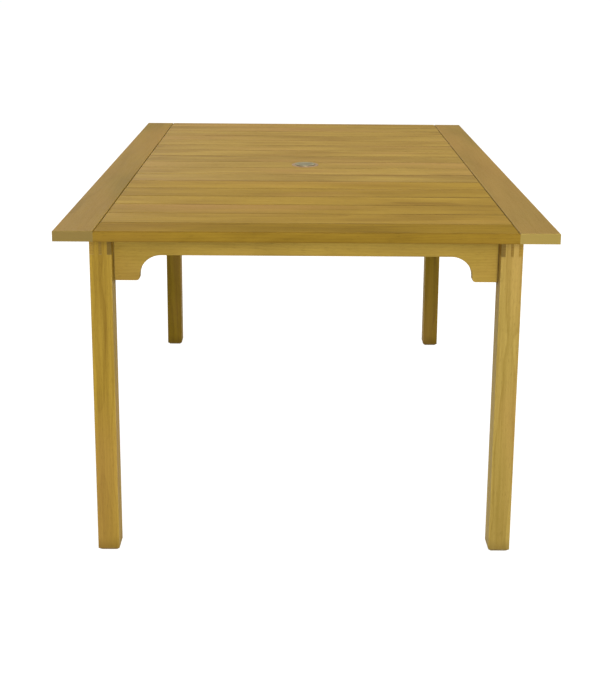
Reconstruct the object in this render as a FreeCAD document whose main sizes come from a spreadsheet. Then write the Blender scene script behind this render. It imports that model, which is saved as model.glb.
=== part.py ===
import FreeCAD, Part
import os

import Sketcher

"""Slatted garden dining table with a parasol hole.

The table stands on the floor at Z = 0 with its middle over the origin.
X runs across the table, Y along it, and the front end faces -Y.
All sizes are in millimetres.
"""

SIZES = {
    # Whole table
    "table_width": 1067,
    "table_length": 1524,
    "table_height": 762,
    # Boards of the top
    "board_thick": 23,
    "board_round": 2,
    "rail_width": 85,
    "field_slats": 15,
    "slat_gap": 1.5,
    "shoulder_gap": 2,
    "seam_depth": 3,
    "end_shoulder_play": 0.1,
    "tongue_thick": 8,
    "tongue_depth": 12,
    "groove_play": 0.2,
    "groove_end_room": 2,
    "groove_stop": 20,
    # Legs and the comb joint at their heads
    "leg_side": 48,
    "leg_round": 2,
    "foot_chamfer": 7,
    "side_overhang": 66,
    "end_overhang": 54,
    "beam_height": 43,
    "finger_width": 11,
    "finger_space": 6.5,
    "finger_play": 0.1,
    # Arched aprons and brackets
    "apron_thick": 20,
    "apron_setback": 27,
    "seam_before_apron": 2,
    "apron_middle": 51,
    "ear_drop": 57,
    "ear_length": 56,
    "ear_round": 8,
    "arch_straight": 2,
    "apron_edge_round": 1.5,
    "bracket_nib": 2,
    "bracket_nib_length": 4,
    # Battens and parasol block under the slats
    "batten_width": 45,
    "batten_height": 22,
    "batten_offset": 190,
    "batten_end_room": 10,
    "block_length": 130,
    "block_width": 80,
    "block_height": 30,
    "block_screw_edge": 16,
    # Parasol ring and cap
    "pole_bore": 50,
    "sleeve_wall": 2,
    "sleeve_play": 0.3,
    "sleeve_short": 1,
    "flange_diameter": 74,
    "flange_thick": 1.2,
    "flange_round": 0.6,
    "cap_diameter": 56,
    "cap_thick": 2.2,
    "cap_round": 1,
    "plug_play": 0.35,
    "plug_depth": 16,
    "notch_radius": 9,
    "notch_depth": 2,
    # Screws, all driven up from below
    "screw_play": 0.2,
    "head_play": 0.6,
    "screw_point": 5,
    "recess_depth": 1.4,
    "short_screw_diameter": 4,
    "short_head_diameter": 8,
    "short_head_height": 2.6,
    "short_recess": 2.2,
    "short_grip": 18,
    "short_bite": 14,
    "long_screw_diameter": 5,
    "long_head_diameter": 10,
    "long_head_height": 3.2,
    "long_recess": 2.8,
    "long_grip": 30,
    "long_bite": 16,
    "beam_screw_inset": 10,
    "apron_screw_offset": 250,
    # Bolted and dowelled joints of the frame
    "bolt_diameter": 6,
    "bolt_play": 0.3,
    "bolt_head_diameter": 10,
    "bolt_head_height": 6,
    "bolt_socket": 5,
    "bolt_socket_depth": 3,
    "bolt_recess": 10,
    "bolt_tail": 5,
    "washer_diameter": 14,
    "washer_thick": 1.5,
    "nut_diameter": 10,
    "nut_length": 14,
    "nut_inset": 35,
    "nut_play": 0.2,
    "dowel_diameter": 8,
    "dowel_length": 36,
    "dowel_play": 0.15,
    "dowel_room": 1,
    "dowel_chamfer": 1,
    "dowel_spacing": 44,
    "bracket_dowel_down": 43,
    "bracket_dowel_in": 34,
}

# Levels and positions that follow from the sizes
TOP_UNDERSIDE = "(dims.table_height - dims.board_thick)"
BEAM_UNDERSIDE = f"({TOP_UNDERSIDE} - dims.beam_height)"
APRON_HEIGHT = "(dims.apron_middle + dims.ear_drop)"
APRON_UNDERSIDE = f"({TOP_UNDERSIDE} - {APRON_HEIGHT})"
EAR_FACE = f"({APRON_HEIGHT} - dims.beam_height)"
JOINT_LEVEL = f"({APRON_UNDERSIDE} + {EAR_FACE} / 2)"
LEG_X = "(dims.table_width / 2 - dims.side_overhang - dims.leg_side / 2)"
LEG_Y = "(dims.table_length / 2 - dims.end_overhang - dims.leg_side / 2)"
INNER_X = f"({LEG_X} - dims.leg_side / 2)"
INNER_Y = f"({LEG_Y} - dims.leg_side / 2)"
APRON_Y = f"({LEG_Y} + dims.leg_side / 2 - dims.apron_setback - dims.apron_thick / 2)"
BEAM_LENGTH = f"(2 * {LEG_Y} + dims.leg_side)"
END_SLAT_WIDTH = "(dims.end_overhang + dims.apron_setback - dims.seam_before_apron)"
FIELD_LENGTH = f"(dims.table_length - 2 * {END_SLAT_WIDTH})"
SLAT_WIDTH = f"(({FIELD_LENGTH} - (dims.field_slats + 1) * dims.slat_gap) / dims.field_slats)"
SLAT_PITCH = f"({SLAT_WIDTH} + dims.slat_gap)"
END_SLAT_Y = f"(dims.table_length / 2 - {END_SLAT_WIDTH} / 2)"
RAIL_X = "(dims.table_width / 2 - dims.rail_width)"
SHOULDER_X = f"({RAIL_X} - dims.shoulder_gap)"
END_SHOULDER_X = f"({RAIL_X} - dims.end_shoulder_play)"
TONGUE_X = f"({RAIL_X} + dims.tongue_depth)"
BEAM_SCREW_X = f"({LEG_X} - dims.beam_screw_inset)"
BLOCK_SCREW_X = "(dims.block_length / 2 - dims.block_screw_edge)"
BLOCK_SCREW_Y = "(dims.block_width / 2 - dims.block_screw_edge)"
SLEEVE_DIAMETER = "(dims.pole_bore + 2 * dims.sleeve_wall)"
DOWEL_DEPTH = "(dims.dowel_length / 2 + dims.dowel_room)"
DOWEL_HOLE = "(dims.dowel_diameter + 2 * dims.dowel_play)"
BOLT_HOLE = "(dims.bolt_diameter + 2 * dims.bolt_play)"
BOLT_SEAT_X = f"({LEG_X} + dims.leg_side / 2 - dims.bolt_recess)"
BOLT_IN_APRON = "(dims.nut_inset + dims.nut_diameter / 2 + dims.bolt_tail)"
BOLT_REACH = f"(dims.leg_side - dims.bolt_recess + {BOLT_IN_APRON})"

TURNS = {
    "+x": FreeCAD.Rotation(FreeCAD.Vector(0, 1, 0), 90),
    "-x": FreeCAD.Rotation(FreeCAD.Vector(0, 1, 0), -90),
    "+y": FreeCAD.Rotation(FreeCAD.Vector(1, 0, 0), -90),
    "-y": FreeCAD.Rotation(FreeCAD.Vector(1, 0, 0), 90),
    "+z": FreeCAD.Rotation(),
}
TOUCHING = 1e-6

doc = FreeCAD.newDocument("dining_table")
sheet = doc.addObject("Spreadsheet::Sheet", "dims")


def fill_sheet():
    """Write every driving size into the sheet under its own name."""
    for row, (name, number) in enumerate(SIZES.items(), start=1):
        sheet.set(f"A{row}", name)
        sheet.set(f"B{row}", str(number))
        sheet.setAlias(f"B{row}", name)
    doc.recompute()


def value(text):
    """Number that an expression over the sheet has now."""
    return float(sheet.evalExpression(text.replace("dims.", "")))


def new_body(label):
    """Empty body that will hold one sub-part."""
    body = doc.addObject("PartDesign::Body", label)
    body.Label = label
    return body


def origin_part(body, role):
    """Plane or axis of a body's own origin."""
    return next(part for part in body.Origin.OriginFeatures if part.Role == role)


def place(item, across, along, up):
    """Tie an object's position to three expressions."""
    for axis, text in zip("xyz", (across, along, up)):
        item.setExpression(f"Placement.Base.{axis}", text)


def new_sketch(body, plane, name, height="0"):
    """Sketch on one of the body's origin planes, raised along its normal."""
    sketch = body.newObject("Sketcher::SketchObject", f"{body.Name}_{name}")
    sketch.AttachmentSupport = [(origin_part(body, plane), "")]
    sketch.MapMode = "FlatFace"
    sketch.setExpression("AttachmentOffset.Base.z", height)
    return sketch


def draw_outline(sketch, corners):
    """Close a polygon whose corners are pairs of expressions."""
    first = sketch.GeometryCount
    spots = [FreeCAD.Vector(value(across), value(up), 0) for across, up in corners]
    for start, end in zip(spots, spots[1:] + spots[:1]):
        sketch.addGeometry(Part.LineSegment(start, end))
    for index, corner in enumerate(corners):
        line = first + index
        following = first + (index + 1) % len(corners)
        sketch.addConstraint(Sketcher.Constraint("Coincident", line, 2, following, 1))
        for kind, text in zip(("DistanceX", "DistanceY"), corner):
            bind = sketch.addConstraint(Sketcher.Constraint(kind, -1, 1, line, 1, value(text)))
            sketch.renameConstraint(bind, f"{kind}{line}")
            sketch.setExpression(f"Constraints.{kind}{line}", text)


def rectangle(left, low, right, high):
    """Corners of a rectangle, anticlockwise."""
    return [(left, low), (right, low), (right, high), (left, high)]


def pad(body, plane, corners, length, symmetric=False):
    """Extrude one outline drawn on an origin plane."""
    sketch = new_sketch(body, plane, "outline")
    draw_outline(sketch, corners)
    feature = body.newObject("PartDesign::Pad", f"{body.Name}_pad")
    feature.Profile = sketch
    feature.SideType = "Symmetric" if symmetric else "One side"
    feature.setExpression("Length", length)
    doc.recompute()
    return feature


def pocket(body, name, height, outlines, depth, upward=False):
    """Cut outlines drawn on a level plane, downwards unless told otherwise."""
    before = body.Shape.Volume
    sketch = new_sketch(body, "XY_Plane", name, height)
    for corners in outlines:
        draw_outline(sketch, corners)
    feature = body.newObject("PartDesign::Pocket", f"{body.Name}_{name}_cut")
    feature.Profile = sketch
    feature.Reversed = upward
    feature.setExpression("Length", depth)
    doc.recompute()
    check_removed(body, name, before)


def channel(body, name, corners, length):
    """Cut one outline lengthwise, evenly to both sides of the body's middle."""
    before = body.Shape.Volume
    sketch = new_sketch(body, "XZ_Plane", name)
    draw_outline(sketch, corners)
    feature = body.newObject("PartDesign::Pocket", f"{body.Name}_{name}_cut")
    feature.Profile = sketch
    feature.SideType = "Symmetric"
    feature.setExpression("Length", length)
    doc.recompute()
    check_removed(body, name, before)


def revolve(body, corners):
    """Turn a half profile, drawn as radius and height, about the body's Z axis."""
    sketch = new_sketch(body, "XZ_Plane", "profile")
    draw_outline(sketch, corners)
    feature = body.newObject("PartDesign::Revolution", f"{body.Name}_turned")
    feature.Profile = sketch
    feature.ReferenceAxis = (sketch, ["V_Axis"])
    feature.Angle = 360
    doc.recompute()


def bore(body, name, start, toward, diameter, depth):
    """Drill a round hole from a start point toward one of the axes."""
    before = body.Shape.Volume
    drill = doc.addObject("PartDesign::SubtractiveCylinder", f"{body.Name}_{name}")
    body.addObject(drill)
    drill.Placement = FreeCAD.Placement(FreeCAD.Vector(), TURNS[toward])
    place(drill, *start)
    drill.setExpression("Radius", f"({diameter}) / 2")
    drill.setExpression("Height", depth)
    doc.recompute()
    check_removed(body, name, before)
    return drill


def check_removed(body, name, before):
    """Stop if a cut has taken nothing away."""
    if body.Shape.Volume > before - TOUCHING:
        raise RuntimeError(f"{name} removes nothing from {body.Label}")


def row_along(body, name, originals, length, count):
    """Repeat cuts along the body's Y axis."""
    before = body.Shape.Volume
    pattern = body.newObject("PartDesign::LinearPattern", f"{body.Name}_{name}")
    pattern.Originals = originals
    pattern.Direction = (origin_part(body, "Y_Axis"), [""])
    pattern.setExpression("Length", length)
    pattern.setExpression("Occurrences", count)
    body.Tip = pattern
    doc.recompute()
    check_removed(body, name, before)


def pick_edges(body, wanted):
    """Names of the body's edges that a test accepts."""
    edges = body.Tip.Shape.Edges
    return [f"Edge{number}" for number, edge in enumerate(edges, start=1) if wanted(edge.BoundBox)]


def dress(body, kind, name, size, wanted):
    """Fillet or chamfer the picked edges, where size is an expression."""
    base = (body.Tip, pick_edges(body, wanted))
    feature = body.newObject(f"PartDesign::{kind}", f"{body.Name}_{name}")
    feature.Base = base
    feature.setExpression("Radius" if kind == "Fillet" else "Size", size)
    doc.recompute()


def near(number, text):
    """Whether a number equals an expression."""
    return abs(number - value(text)) < TOUCHING


def flat_at(low, high, text):
    """Whether an edge's span along one axis shrinks to one level."""
    return near(low, text) and near(high, text)


def mirror(source, label, across):
    """Mirror image of a sub-part over the middle of the table."""
    twin = doc.addObject("Part::Mirroring", label)
    twin.Label = label
    twin.Source = source
    twin.Normal = FreeCAD.Vector(1, 0, 0) if across == "x" else FreeCAD.Vector(0, 1, 0)
    return twin


def scatter(label, pattern, spots):
    """Group of identical loose pieces, one at each spot and turn."""
    links = []
    for number, (spot, toward) in enumerate(spots, start=1):
        link = doc.addObject("App::Link", f"{label}_{number}")
        link.LinkedObject = pattern
        link.Placement = FreeCAD.Placement(FreeCAD.Vector(), TURNS[toward])
        place(link, *spot)
        links.append(link)
    group = doc.addObject("Part::Compound", label)
    group.Label = label
    group.Links = links
    return group


def tongue_levels(play):
    """Underside and upper side of a tongue, or of its groove when some play is added."""
    return (
        f"((dims.board_thick - dims.tongue_thick) / 2 - {play})",
        f"((dims.board_thick + dims.tongue_thick) / 2 + {play})",
    )


def mirrored_outline(right):
    """Closed outline from the corners of its right half, listed upwards."""
    return right + [(f"-{across}", up) for across, up in reversed(right)]


def field_slat_outline():
    """Slat seen from the front: a board with a tongue at each end and an open seam beside the rails."""
    low, high = tongue_levels("0")
    right = [
        (SHOULDER_X, "0"),
        (SHOULDER_X, low),
        (TONGUE_X, low),
        (TONGUE_X, high),
        (SHOULDER_X, high),
        (SHOULDER_X, "dims.board_thick"),
    ]
    return mirrored_outline(right)


def end_slat_outline():
    """Slat seen from the front that fits close to the rails below a shallow seam."""
    low, high = tongue_levels("0")
    seam = "(dims.board_thick - dims.seam_depth)"
    right = [
        (END_SHOULDER_X, "0"),
        (END_SHOULDER_X, low),
        (TONGUE_X, low),
        (TONGUE_X, high),
        (END_SHOULDER_X, high),
        (END_SHOULDER_X, seam),
        (SHOULDER_X, seam),
        (SHOULDER_X, "dims.board_thick"),
    ]
    return mirrored_outline(right)


def board_top(box):
    """Whether an edge lies in the upper face of a board."""
    return flat_at(box.ZMin, box.ZMax, "dims.board_thick")


def build_slat(label, outline, width, along, screw_spots):
    """One cross board of the top, with pilot holes for the screws that reach it from below."""
    body = new_body(label)
    pad(body, "XZ_Plane", outline, width, symmetric=True)
    dress(body, "Fillet", "round", "dims.board_round", board_top)
    for number, (size, across, off_centre) in enumerate(screw_spots, start=1):
        hole = f"dims.{size}_screw_diameter + 2 * dims.screw_play"
        depth = f"dims.{size}_bite + dims.screw_play"
        bore(body, f"pilot_{number}", (across, off_centre, "0"), "+z", hole, depth)
    place(body, "0", along, TOP_UNDERSIDE)
    return body


def field_slat_y(number):
    """Middle of one field slat, counted from the front, as an expression."""
    return f"({SLAT_PITCH} * ({number} - (dims.field_slats + 1) / 2))"


def both_sides(across):
    """An expression and its mirror image."""
    return (f"-{across}", across)


def build_end_slat(label, side):
    """Narrow board at one end of the top, held by its tongues and laid on the ends of the beams."""
    body = build_slat(label, end_slat_outline(), END_SLAT_WIDTH, f"{side} * {END_SLAT_Y}", [])
    stop_tongues(body, side)
    return body


def stop_tongues(body, side):
    """Cut the tongues of an end slat back to where the grooves of the rails stop."""
    outer = f"{side} * {END_SLAT_WIDTH} / 2"
    inner = f"{side} * ({END_SLAT_WIDTH} / 2 - dims.groove_stop - dims.groove_play)"
    beyond = "(dims.table_width / 2)"
    ends = [
        rectangle(END_SHOULDER_X, outer, beyond, inner),
        rectangle(f"-{beyond}", outer, f"-{END_SHOULDER_X}", inner),
    ]
    pocket(body, "tongue_stop", "dims.board_thick", ends, "dims.board_thick")


def build_field_slat(label, number):
    """Board between the end slats, held by the battens and some also by a beam, apron or block."""
    spots = [("short", across, "0") for across in both_sides("dims.batten_offset")]
    if number in beam_screw_slats():
        spots += [("long", across, "0") for across in both_sides(BEAM_SCREW_X)]
    if number in (1, field_count()):
        side = "-1" if number == 1 else "1"
        off_centre = f"({side} * {APRON_Y} - {field_slat_y(number)})"
        spots += [("long", across, off_centre) for across in apron_screw_places()]
    if number == middle_slat():
        spots += [("short", across, along) for across, along in block_screw_places()]
    body = build_slat(label, field_slat_outline(), SLAT_WIDTH, field_slat_y(number), spots)
    if number == middle_slat():
        hole = f"{SLEEVE_DIAMETER} + 2 * dims.sleeve_play"
        bore(body, "parasol_hole", ("0", "0", "0"), "+z", hole, "dims.board_thick")
    return body


def field_count():
    """Number of field slats."""
    return int(value("dims.field_slats"))


def middle_slat():
    """Number of the field slat that carries the parasol ring."""
    return (field_count() + 1) // 2


def beam_screw_slats():
    """Field slats that the beams are screwed to: every second one between the brackets."""
    return [number for number in range(3, field_count() - 1, 2) if number != middle_slat()]


def apron_screw_places():
    """Places across the table of the screws through an apron."""
    return ("-dims.apron_screw_offset", "0", "dims.apron_screw_offset")


def block_screw_places():
    """Corners of the parasol block that take a screw."""
    return [(across, along) for across in both_sides(BLOCK_SCREW_X) for along in both_sides(BLOCK_SCREW_Y)]


def build_slats():
    """All cross boards, from the front end to the back end."""
    slats = [build_end_slat("slat_01", "-1")]
    for number in range(1, field_count() + 1):
        slats.append(build_field_slat(f"slat_{number + 1:02d}", number))
    slats.append(build_end_slat(f"slat_{field_count() + 2:02d}", "1"))
    return slats


def build_rail(label):
    """Long board at the left of the top, with a stopped groove for the tongues."""
    body = new_body(label)
    outer = "(-dims.table_width / 2)"
    inner = f"(-{RAIL_X})"
    board = rectangle(outer, "0", inner, "dims.board_thick")
    pad(body, "XZ_Plane", board, "dims.table_length", symmetric=True)
    low, high = tongue_levels("dims.groove_play")
    groove = rectangle(f"-({TONGUE_X} + dims.groove_end_room)", low, inner, high)
    channel(body, "groove", groove, "dims.table_length - 2 * dims.groove_stop")
    dress(body, "Fillet", "round", "dims.board_round", board_top)
    place(body, "0", "0", TOP_UNDERSIDE)
    return body


def finger_edges(play):
    """Near and far side of one finger, measured from the middle of the leg."""
    return (
        f"(dims.finger_space / 2 - {play})",
        f"(dims.finger_space / 2 + dims.finger_width + {play})",
    )


def build_leg(label):
    """Front left leg with two fingers at its head."""
    body = new_body(label)
    half = "(dims.leg_side / 2)"
    pad(body, "XY_Plane", rectangle(f"-{half}", f"-{half}", half, half), TOP_UNDERSIDE)
    dress(body, "Chamfer", "foot", "dims.foot_chamfer", lambda box: flat_at(box.ZMin, box.ZMax, "0"))
    upright = f"({TOP_UNDERSIDE} - dims.foot_chamfer)"
    dress(body, "Fillet", "round", "dims.leg_round", lambda box: near(box.ZLength, upright))
    inside, outside = finger_edges("0")
    beyond = "dims.leg_side"
    gaps = [
        rectangle(f"-{beyond}", f"-{beyond}", f"-{outside}", beyond),
        rectangle(f"-{inside}", f"-{beyond}", inside, beyond),
        rectangle(outside, f"-{beyond}", beyond, beyond),
    ]
    pocket(body, "comb", TOP_UNDERSIDE, gaps, "dims.beam_height")
    drill_leg(body, half)
    place(body, f"-{LEG_X}", f"-{LEG_Y}", "0")
    return body


def drill_leg(body, half):
    """Bolt, dowel and bracket holes of the front left leg."""
    recess = "dims.washer_diameter + 2 * dims.head_play"
    apron_line = f"({LEG_Y} - {APRON_Y})"
    bore(body, "bolt_hole", (f"-{half}", apron_line, JOINT_LEVEL), "+x", BOLT_HOLE, "dims.leg_side")
    bore(body, "bolt_recess", (f"-{half}", apron_line, JOINT_LEVEL), "+x", recess, "dims.bolt_recess")
    for name, level in dowel_levels():
        bore(body, name, (half, apron_line, level), "-x", DOWEL_HOLE, DOWEL_DEPTH)
    bracket_level = f"({BEAM_UNDERSIDE} - dims.bracket_dowel_down)"
    bore(body, "bracket_dowel", ("0", half, bracket_level), "-y", DOWEL_HOLE, DOWEL_DEPTH)


def dowel_levels():
    """Heights of the two dowels beside each apron bolt."""
    return [
        ("lower_dowel", f"({JOINT_LEVEL} - dims.dowel_spacing / 2)"),
        ("upper_dowel", f"({JOINT_LEVEL} + dims.dowel_spacing / 2)"),
    ]


def build_beam(label):
    """Left beam on the leg heads, slotted at both ends for the fingers of the legs."""
    body = new_body(label)
    half = "(dims.leg_side / 2)"
    half_length = f"({BEAM_LENGTH} / 2)"
    pad(body, "XZ_Plane", rectangle(f"-{half}", "0", half, "dims.beam_height"), BEAM_LENGTH, symmetric=True)
    dress(body, "Fillet", "round", "dims.leg_round", lambda box: near(box.ZLength, "dims.beam_height"))
    inside, outside = finger_edges("dims.finger_play")
    root = f"({half_length} - dims.leg_side - dims.finger_play)"
    beyond = f"({half_length} + dims.leg_side)"
    slots = []
    for left, right in ((inside, outside), (f"-{outside}", f"-{inside}")):
        slots.append(rectangle(left, root, right, beyond))
        slots.append(rectangle(left, f"-{beyond}", right, f"-{root}"))
    pocket(body, "comb", "dims.beam_height", slots, "dims.beam_height")
    for number in beam_screw_slats():
        spot = ("dims.beam_screw_inset", field_slat_y(number), "0")
        screw_hole(body, f"screw_{number}", spot, "long", "dims.beam_height")
    for side in ("-1", "1"):
        along = f"{side} * ({INNER_Y} - dims.bracket_dowel_in)"
        name = "front_dowel" if side == "-1" else "back_dowel"
        bore(body, name, ("0", along, "0"), "+z", DOWEL_HOLE, DOWEL_DEPTH)
    place(body, f"-{LEG_X}", "0", BEAM_UNDERSIDE)
    return body


def screw_hole(body, name, spot, size, thickness):
    """Hole for a screw driven up through a piece, with a recess for its head."""
    hole = f"dims.{size}_screw_diameter + 2 * dims.screw_play"
    recess = f"dims.{size}_head_diameter + 2 * dims.head_play"
    shank = bore(body, name, spot, "+z", hole, thickness)
    head = bore(body, f"{name}_recess", spot, "+z", recess, f"{thickness} - dims.{size}_grip")
    return [shank, head]


def build_apron(label):
    """Arched board between the front legs."""
    body = new_body(label)
    end = INNER_X
    ear = f"({end} - dims.ear_length)"
    corners = [
        (f"-{end}", "0"),
        (f"-{ear}", "0"),
        (f"-{ear}", "dims.ear_drop"),
        (ear, "dims.ear_drop"),
        (ear, "0"),
        (end, "0"),
        (end, APRON_HEIGHT),
        (f"-{end}", APRON_HEIGHT),
    ]
    pad(body, "XZ_Plane", corners, "dims.apron_thick", symmetric=True)
    arch = "dims.ear_drop - dims.ear_round - dims.arch_straight"
    round_arch(body, arch, "dims.ear_drop", "0", lambda box: near(abs(box.Center.x), ear), "y")
    ease_arch(body, lambda box: near(abs(box.Center.y), "dims.apron_thick / 2"), "dims.ear_drop")
    drill_apron(body, end)
    place(body, "0", f"-{APRON_Y}", APRON_UNDERSIDE)
    return body


def round_arch(body, radius, top, bottom, beside, along):
    """Hollow the inner corners of an arch and round the lower corners of its ears."""
    length = "YLength" if along == "y" else "XLength"

    def crosses(box, level):
        return getattr(box, length) > 1 and beside(box) and flat_at(box.ZMin, box.ZMax, level)

    dress(body, "Fillet", "arch", radius, lambda box: crosses(box, top))
    dress(body, "Fillet", "ears", "dims.ear_round", lambda box: crosses(box, bottom))


def ease_arch(body, on_face, top):
    """Soften the lower edges of an arched piece on both its faces."""

    def lower_edge(box):
        within_face = near(min(box.XLength, box.YLength), "0")
        upright = near(max(box.XLength, box.YLength), "0") and near(box.ZMin, "0")
        return on_face(box) and within_face and box.ZMax < value(top) + TOUCHING and not upright

    dress(body, "Fillet", "eased", "dims.apron_edge_round", lower_edge)


def drill_apron(body, end):
    """Bolt, nut, dowel and screw holes of an apron."""
    level = f"({EAR_FACE} / 2)"
    bolt_depth = f"{BOLT_IN_APRON} + dims.dowel_room"
    nut_hole = "dims.nut_diameter + 2 * dims.nut_play"
    nut_depth = "(dims.apron_thick + dims.nut_length) / 2 + dims.nut_play"
    for side, toward in (("-", "+x"), ("", "-x")):
        name = "left" if side else "right"
        edge = f"{side}{end}"
        bore(body, f"{name}_bolt", (edge, "0", level), toward, BOLT_HOLE, bolt_depth)
        nut_x = f"{side}({end} - dims.nut_inset)"
        bore(body, f"{name}_nut", (nut_x, "dims.apron_thick / 2", level), "-y", nut_hole, nut_depth)
        for offset in both_sides("dims.dowel_spacing / 2"):
            hole = f"{name}_dowel_{'low' if offset.startswith('-') else 'high'}"
            bore(body, hole, (edge, "0", f"{level} + {offset}"), toward, DOWEL_HOLE, DOWEL_DEPTH)
    for number, across in enumerate(apron_screw_places(), start=1):
        screw_hole(body, f"screw_{number}", (across, "0", "dims.ear_drop"), "long", "dims.apron_middle")


def build_bracket(label):
    """Bracket under the left beam, against the front leg."""
    body = new_body(label)
    drop = f"(-{EAR_FACE})"
    radius = f"({EAR_FACE} - dims.bracket_nib - dims.ear_round - dims.arch_straight)"
    tip = f"(dims.ear_length + {radius} + dims.bracket_nib_length)"
    corners = [
        ("0", drop),
        ("dims.ear_length", drop),
        ("dims.ear_length", "-dims.bracket_nib"),
        (tip, "-dims.bracket_nib"),
        (tip, "0"),
        ("0", "0"),
    ]
    pad(body, "YZ_Plane", corners, "dims.apron_thick", symmetric=True)
    nib = "-dims.bracket_nib"
    round_arch(body, radius, nib, drop, lambda box: near(box.Center.y, "dims.ear_length"), "x")
    leg_dowel = ("0", "0", "-dims.bracket_dowel_down")
    bore(body, "leg_dowel", leg_dowel, "+y", DOWEL_HOLE, DOWEL_DEPTH)
    beam_dowel = ("0", "dims.bracket_dowel_in", f"-{DOWEL_DEPTH}")
    bore(body, "beam_dowel", beam_dowel, "+z", DOWEL_HOLE, DOWEL_DEPTH)
    place(body, f"-{LEG_X}", f"-{INNER_Y}", BEAM_UNDERSIDE)
    return body


def build_batten(label):
    """Left strip under the field slats, with one screw hole for each of them."""
    body = new_body(label)
    half = "(dims.batten_width / 2)"
    length = f"2 * ({APRON_Y} - dims.apron_thick / 2 - dims.batten_end_room)"
    pad(body, "XZ_Plane", rectangle(f"-{half}", "0", half, "dims.batten_height"), length, symmetric=True)
    first = ("0", field_slat_y(1), "0")
    holes = screw_hole(body, "screw", first, "short", "dims.batten_height")
    row_along(body, "row", holes, f"{SLAT_PITCH} * (dims.field_slats - 1)", "dims.field_slats")
    place(body, "-dims.batten_offset", "0", f"{TOP_UNDERSIDE} - dims.batten_height")
    return body


def build_parasol_block(label):
    """Block under the middle slat that guides the pole."""
    body = new_body(label)
    half_length = "(dims.block_length / 2)"
    half_width = "(dims.block_width / 2)"
    outline = rectangle(f"-{half_length}", f"-{half_width}", half_length, half_width)
    pad(body, "XY_Plane", outline, "dims.block_height")
    bore(body, "pole_bore", ("0", "0", "0"), "+z", "dims.pole_bore", "dims.block_height")
    for number, (across, along) in enumerate(block_screw_places(), start=1):
        screw_hole(body, f"screw_{number}", (across, along, "0"), "short", "dims.block_height")
    place(body, "0", "0", f"{TOP_UNDERSIDE} - dims.block_height")
    return body


def build_parasol_ring(label):
    """Flanged sleeve that lines the hole in the middle slat."""
    body = new_body(label)
    inside = "(dims.pole_bore / 2)"
    outside = f"({SLEEVE_DIAMETER} / 2)"
    rim = "(dims.flange_diameter / 2)"
    bottom = "(dims.sleeve_short - dims.board_thick)"
    corners = [
        (inside, bottom),
        (outside, bottom),
        (outside, "0"),
        (rim, "0"),
        (rim, "dims.flange_thick"),
        (inside, "dims.flange_thick"),
    ]
    revolve(body, corners)
    dress(body, "Fillet", "round", "dims.flange_round", lambda box: rim_edge(box, "dims.flange_thick", rim))
    place(body, "0", "0", "dims.table_height")
    return body


def rim_edge(box, level, radius):
    """Whether an edge is the circle of a given radius at a given height."""
    return flat_at(box.ZMin, box.ZMax, level) and near(box.XMax, radius)


def build_parasol_cap(label):
    """Plug with a wider disc that rests on the flange, notched at the front for a fingertip."""
    body = new_body(label)
    plug = "(dims.pole_bore / 2 - dims.plug_play)"
    rim = "(dims.cap_diameter / 2)"
    corners = [
        ("0", "-dims.plug_depth"),
        (plug, "-dims.plug_depth"),
        (plug, "0"),
        (rim, "0"),
        (rim, "dims.cap_thick"),
        ("0", "dims.cap_thick"),
    ]
    revolve(body, corners)
    dress(body, "Fillet", "round", "dims.cap_round", lambda box: rim_edge(box, "dims.cap_thick", rim))
    notch_y = f"-({rim} + dims.notch_radius - dims.notch_depth)"
    bore(body, "notch", ("0", notch_y, "0"), "+z", "2 * dims.notch_radius", "dims.cap_thick")
    place(body, "0", "0", "dims.table_height + dims.flange_thick")
    return body


def screw_pattern(size):
    """One screw, point up, with the underside of its head at its own origin."""
    body = new_body(f"{size}_screw")
    shank = f"(dims.{size}_screw_diameter / 2)"
    head = f"(dims.{size}_head_diameter / 2)"
    under = f"(-dims.{size}_head_height)"
    tip = f"(dims.{size}_grip + dims.{size}_bite)"
    corners = [
        ("0", under),
        (head, under),
        (head, "0"),
        (shank, "0"),
        (shank, f"({tip} - dims.screw_point)"),
        ("0", tip),
    ]
    revolve(body, corners)
    half = f"(dims.{size}_recess / 2)"
    recess = [rectangle(f"-{half}", f"-{half}", half, half)]
    pocket(body, "recess", under, recess, "dims.recess_depth", upward=True)
    return body


def bolt_pattern():
    """One socket-head bolt with the underside of its head at its own origin."""
    body = new_body("apron_bolt")
    shank = "(dims.bolt_diameter / 2)"
    head = "(dims.bolt_head_diameter / 2)"
    under = "(-dims.bolt_head_height)"
    tip = f"({BOLT_REACH} + dims.washer_thick)"
    corners = [("0", under), (head, under), (head, "0"), (shank, "0"), (shank, tip), ("0", tip)]
    revolve(body, corners)
    flat = "(dims.bolt_socket / 2)"
    corner = "(dims.bolt_socket / sqrt(3))"
    hexagon = [
        (corner, "0"),
        (f"{corner} / 2", flat),
        (f"-{corner} / 2", flat),
        (f"-{corner}", "0"),
        (f"-{corner} / 2", f"-{flat}"),
        (f"{corner} / 2", f"-{flat}"),
    ]
    pocket(body, "socket", under, [hexagon], "dims.bolt_socket_depth", upward=True)
    return body


def washer_pattern():
    """One flat washer standing on its own origin."""
    body = new_body("apron_washer")
    inside = f"({BOLT_HOLE} / 2)"
    outside = "(dims.washer_diameter / 2)"
    revolve(body, rectangle(inside, "0", outside, "dims.washer_thick"))
    return body


def nut_pattern():
    """One barrel nut lying along Y, drilled across for its bolt."""
    body = new_body("barrel_nut")
    half = "(dims.nut_length / 2)"
    radius = "(dims.nut_diameter / 2)"
    revolve(body, rectangle("0", f"-{half}", radius, half))
    bore(body, "thread", (f"-{radius}", "0", "0"), "+x", BOLT_HOLE, "dims.nut_diameter")
    return body


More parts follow.
